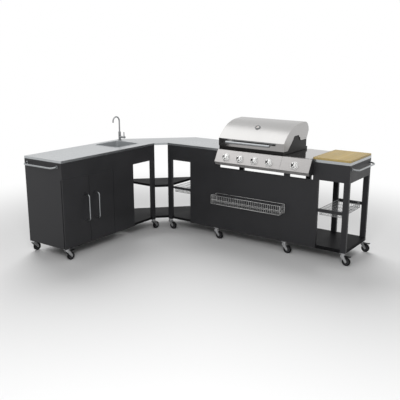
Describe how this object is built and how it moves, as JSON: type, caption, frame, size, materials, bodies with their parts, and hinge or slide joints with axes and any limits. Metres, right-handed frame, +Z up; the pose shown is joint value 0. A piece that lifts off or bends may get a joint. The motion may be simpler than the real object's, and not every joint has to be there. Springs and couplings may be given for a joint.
{
  "type": "outdoor kitchen island",
  "caption": "L-shaped outdoor kitchen island on casters with a roll-top gas grill, side burner, sink with tap, two doors, wire baskets and a chopping board",
  "frame": {"origin": "centre of the footprint's bounding box, on the floor under the wheels", "axes": "+X runs along the grill wing away from the corner, +Y points from the grill's front to its back, +Z is up; the sink wing runs toward -Y and its doors face +X"},
  "size_m": [2.585, 1.873, 1.17],
  "materials": {
    "powder_coat": "fine matte powder coat",
    "satin_steel": "satin brushed stainless steel",
    "polished_steel": "polished stainless steel",
    "bright_chrome": "bright chrome plate",
    "wire_chrome": "chromed wire",
    "black_enamel": "black heat-resistant enamel",
    "cast_iron": "seasoned cast iron",
    "zinc": "zinc-plated pressed steel",
    "tyre_rubber": "grey-black tread rubber",
    "black_plastic": "textured black plastic",
    "beech": "oiled light hardwood"
  },
  "bodies": {
    "island": {"frame_posts": "powder_coat", "cladding": "powder_coat", "shelves": "powder_coat", "sink_worktop": "satin_steel", "worktops": "satin_steel", "sink_basin": "satin_steel", "tap_body": "bright_chrome", "towel_bars": "satin_steel", "spice_rack": "wire_chrome", "firebox": "black_enamel", "control_panel": "satin_steel", "cooking_grates": "cast_iron", "burners": "satin_steel", "side_burner": "satin_steel", "caster_plates": "zinc"},
    "spout": {"tap_spout": "bright_chrome"},
    "lever": {"tap_lever": "bright_chrome"},
    "left_door": {"door_left": "powder_coat", "handle_left": "satin_steel"},
    "right_door": {"door_right": "powder_coat", "handle_right": "satin_steel"},
    "bay_basket": {"corner_basket": "wire_chrome"},
    "small_basket": {"trolley_basket": "wire_chrome"},
    "board": {"cutting_board": "beech"},
    "grill_hood": {"hood": "satin_steel", "hood_handle": "satin_steel"},
    "tray": {"grease_tray": "satin_steel"},
    "side_lid": {"side_burner_lid": "polished_steel"},
    "knob_body_1": {"knob_1": "satin_steel"},
    "knob_body_2": {"knob_2": "satin_steel"},
    "knob_body_3": {"knob_3": "satin_steel"},
    "knob_body_4": {"knob_4": "satin_steel"},
    "knob_body_5": {"knob_5": "satin_steel"},
    "caster_sink_end_front": {"fork_sink_end_front": "zinc"},
    "roller_sink_end_front": {"wheel_sink_end_front": "tyre_rubber"},
    "brake_sink_end_front": {"pedal_sink_end_front": "black_plastic"},
    "caster_sink_end_back": {"fork_sink_end_back": "zinc"},
    "roller_sink_end_back": {"wheel_sink_end_back": "tyre_rubber"},
    "caster_sink_corner_front": {"fork_sink_corner_front": "zinc"},
    "roller_sink_corner_front": {"wheel_sink_corner_front": "tyre_rubber"},
    "caster_sink_corner_back": {"fork_sink_corner_back": "zinc"},
    "roller_sink_corner_back": {"wheel_sink_corner_back": "tyre_rubber"},
    "caster_bay_front": {"fork_bay_front": "zinc"},
    "roller_bay_front": {"wheel_bay_front": "tyre_rubber"},
    "caster_bay_back": {"fork_bay_back": "zinc"},
    "roller_bay_back": {"wheel_bay_back": "tyre_rubber"},
    "caster_grill_left_front": {"fork_grill_left_front": "zinc"},
    "roller_grill_left_front": {"wheel_grill_left_front": "tyre_rubber"},
    "caster_grill_left_back": {"fork_grill_left_back": "zinc"},
    "roller_grill_left_back": {"wheel_grill_left_back": "tyre_rubber"},
    "caster_grill_right_front": {"fork_grill_right_front": "zinc"},
    "roller_grill_right_front": {"wheel_grill_right_front": "tyre_rubber"},
    "caster_grill_right_back": {"fork_grill_right_back": "zinc"},
    "roller_grill_right_back": {"wheel_grill_right_back": "tyre_rubber"},
    "caster_trolley_front": {"fork_trolley_front": "zinc"},
    "roller_trolley_front": {"wheel_trolley_front": "tyre_rubber"},
    "brake_trolley_front": {"pedal_trolley_front": "black_plastic"},
    "caster_trolley_back": {"fork_trolley_back": "zinc"},
    "roller_trolley_back": {"wheel_trolley_back": "tyre_rubber"},
    "brake_trolley_back": {"pedal_trolley_back": "black_plastic"}
  },
  "joints": [
    {"name": "spout_swivel", "type": "hinge", "parent": "island", "child": "spout", "pos_m": [-1.2525, 0.3265, 0.975], "axis": [0, 0, 1], "continuous": true},
    {"name": "lever_turn", "type": "hinge", "parent": "island", "child": "lever", "pos_m": [-1.2025, 0.3265, 0.931], "axis": [1, 0, 0], "range_deg": [0, 90]},
    {"name": "left_door_hinge", "type": "hinge", "parent": "island", "child": "left_door", "pos_m": [-0.8195, -0.8665, 0.42], "axis": [0, 0, -1], "range_deg": [0, 100]},
    {"name": "right_door_hinge", "type": "hinge", "parent": "island", "child": "right_door", "pos_m": [-0.8195, -0.2565, 0.42], "axis": [0, 0, 1], "range_deg": [0, 100]},
    {"name": "bay_basket_lift", "type": "slide", "parent": "island", "child": "bay_basket", "axis": [0, 0, 1], "range_m": [0, 0.12]},
    {"name": "small_basket_lift", "type": "slide", "parent": "island", "child": "small_basket", "axis": [0, 0, 1], "range_m": [0, 0.12]},
    {"name": "board_lift", "type": "slide", "parent": "island", "child": "board", "axis": [0, 0, 1], "range_m": [0, 0.1]},
    {"name": "hood_hinge", "type": "hinge", "parent": "island", "child": "grill_hood", "pos_m": [0.2675, 0.8715, 1.02], "axis": [-1, 0, 0], "range_deg": [0, 90]},
    {"name": "grease_tray_slide", "type": "slide", "parent": "island", "child": "tray", "axis": [0, 1, 0], "range_m": [0, 0.3]},
    {"name": "side_lid_hinge", "type": "hinge", "parent": "island", "child": "side_lid", "pos_m": [0.751, 0.9285, 0.899], "axis": [-1, 0, 0], "range_deg": [0, 92]},
    {"name": "knob_1_turn", "type": "hinge", "parent": "island", "child": "knob_body_1", "pos_m": [0.03875, 0.38533, 0.83742], "axis": [0, -0.8812, 0.4727], "range_deg": [0, 180]},
    {"name": "knob_2_turn", "type": "hinge", "parent": "island", "child": "knob_body_2", "pos_m": [0.19125, 0.38533, 0.83742], "axis": [0, -0.8812, 0.4727], "range_deg": [0, 180]},
    {"name": "knob_3_turn", "type": "hinge", "parent": "island", "child": "knob_body_3", "pos_m": [0.34375, 0.38533, 0.83742], "axis": [0, -0.8812, 0.4727], "range_deg": [0, 180]},
    {"name": "knob_4_turn", "type": "hinge", "parent": "island", "child": "knob_body_4", "pos_m": [0.49625, 0.38533, 0.83742], "axis": [0, -0.8812, 0.4727], "range_deg": [0, 180]},
    {"name": "knob_5_turn", "type": "hinge", "parent": "island", "child": "knob_body_5", "pos_m": [0.7505, 0.38533, 0.83742], "axis": [0, -0.8812, 0.4727], "range_deg": [0, 180]},
    {"name": "swivel_sink_end_front", "type": "hinge", "parent": "island", "child": "caster_sink_end_front", "pos_m": [-0.8185, -0.8515, 0.095], "axis": [0, 0, 1], "continuous": true},
    {"name": "roll_sink_end_front", "type": "hinge", "parent": "caster_sink_end_front", "child": "roller_sink_end_front", "pos_m": [-0.8185, -0.8165, 0.0375], "axis": [-1, 0, 0], "continuous": true},
    {"name": "brake_sink_end_front", "type": "hinge", "parent": "caster_sink_end_front", "child": "brake_sink_end_front", "pos_m": [-0.8185, -0.8405, 0.08], "axis": [-1, 0, 0], "range_deg": [0, 9]},
    {"name": "swivel_sink_end_back", "type": "hinge", "parent": "island", "child": "caster_sink_end_back", "pos_m": [-1.2745, -0.8515, 0.095], "axis": [0, 0, 1], "continuous": true},
    {"name": "roll_sink_end_back", "type": "hinge", "parent": "caster_sink_end_back", "child": "roller_sink_end_back", "pos_m": [-1.2745, -0.8165, 0.0375], "axis": [-1, 0, 0], "continuous": true},
    {"name": "swivel_sink_corner_front", "type": "hinge", "parent": "island", "child": "caster_sink_corner_front", "pos_m": [-0.8185, 0.3355, 0.095], "axis": [0, 0, 1], "continuous": true},
    {"name": "roll_sink_corner_front", "type": "hinge", "parent": "caster_sink_corner_front", "child": "roller_sink_corner_front", "pos_m": [-0.8185, 0.3705, 0.0375], "axis": [-1, 0, 0], "continuous": true},
    {"name": "swivel_sink_corner_back", "type": "hinge", "parent": "island", "child": "caster_sink_corner_back", "pos_m": [-1.2745, 0.3355, 0.095], "axis": [0, 0, 1], "continuous": true},
    {"name": "roll_sink_corner_back", "type": "hinge", "parent": "caster_sink_corner_back", "child": "roller_sink_corner_back", "pos_m": [-1.2745, 0.3705, 0.0375], "axis": [-1, 0, 0], "continuous": true},
    {"name": "swivel_bay_front", "type": "hinge", "parent": "island", "child": "caster_bay_front", "pos_m": [-0.6915, 0.4625, 0.095], "axis": [0, 0, 1], "continuous": true},
    {"name": "roll_bay_front", "type": "hinge", "parent": "caster_bay_front", "child": "roller_bay_front", "pos_m": [-0.6565, 0.4625, 0.0375], "axis": [0, 1, 0], "continuous": true},
    {"name": "swivel_bay_back", "type": "hinge", "parent": "island", "child": "caster_bay_back", "pos_m": [-0.6915, 0.9185, 0.095], "axis": [0, 0, 1], "continuous": true},
    {"name": "roll_bay_back", "type": "hinge", "parent": "caster_bay_back", "child": "roller_bay_back", "pos_m": [-0.6565, 0.9185, 0.0375], "axis": [0, 1, 0], "continuous": true},
    {"name": "swivel_grill_left_front", "type": "hinge", "parent": "island", "child": "caster_grill_left_front", "pos_m": [-0.1135, 0.4625, 0.095], "axis": [0, 0, 1], "continuous": true},
    {"name": "roll_grill_left_front", "type": "hinge", "parent": "caster_grill_left_front", "child": "roller_grill_left_front", "pos_m": [-0.0785, 0.4625, 0.0375], "axis": [0, 1, 0], "continuous": true},
    {"name": "swivel_grill_left_back", "type": "hinge", "parent": "island", "child": "caster_grill_left_back", "pos_m": [-0.1135, 0.9185, 0.095], "axis": [0, 0, 1], "continuous": true},
    {"name": "roll_grill_left_back", "type": "hinge", "parent": "caster_grill_left_back", "child": "roller_grill_left_back", "pos_m": [-0.0785, 0.9185, 0.0375], "axis": [0, 1, 0], "continuous": true},
    {"name": "swivel_grill_right_front", "type": "hinge", "parent": "island", "child": "caster_grill_right_front", "pos_m": [0.6385, 0.4625, 0.095], "axis": [0, 0, 1], "continuous": true},
    {"name": "roll_grill_right_front", "type": "hinge", "parent": "caster_grill_right_front", "child": "roller_grill_right_front", "pos_m": [0.6735, 0.4625, 0.0375], "axis": [0, 1, 0], "continuous": true},
    {"name": "swivel_grill_right_back", "type": "hinge", "parent": "island", "child": "caster_grill_right_back", "pos_m": [0.6385, 0.9185, 0.095], "axis": [0, 0, 1], "continuous": true},
    {"name": "roll_grill_right_back", "type": "hinge", "parent": "caster_grill_right_back", "child": "roller_grill_right_back", "pos_m": [0.6735, 0.9185, 0.0375], "axis": [0, 1, 0], "continuous": true},
    {"name": "swivel_trolley_front", "type": "hinge", "parent": "island", "child": "caster_trolley_front", "pos_m": [1.2075, 0.4625, 0.095], "axis": [0, 0, 1], "continuous": true},
    {"name": "roll_trolley_front", "type": "hinge", "parent": "caster_trolley_front", "child": "roller_trolley_front", "pos_m": [1.2425, 0.4625, 0.0375], "axis": [0, 1, 0], "continuous": true},
    {"name": "brake_trolley_front", "type": "hinge", "parent": "caster_trolley_front", "child": "brake_trolley_front", "pos_m": [1.2185, 0.4625, 0.08], "axis": [0, 1, 0], "range_deg": [0, 9]},
    {"name": "swivel_trolley_back", "type": "hinge", "parent": "island", "child": "caster_trolley_back", "pos_m": [1.2075, 0.9185, 0.095], "axis": [0, 0, 1], "continuous": true},
    {"name": "roll_trolley_back", "type": "hinge", "parent": "caster_trolley_back", "child": "roller_trolley_back", "pos_m": [1.2425, 0.9185, 0.0375], "axis": [0, 1, 0], "continuous": true},
    {"name": "brake_trolley_back", "type": "hinge", "parent": "caster_trolley_back", "child": "brake_trolley_back", "pos_m": [1.2185, 0.9185, 0.08], "axis": [0, 1, 0], "range_deg": [0, 9]}
  ]
}
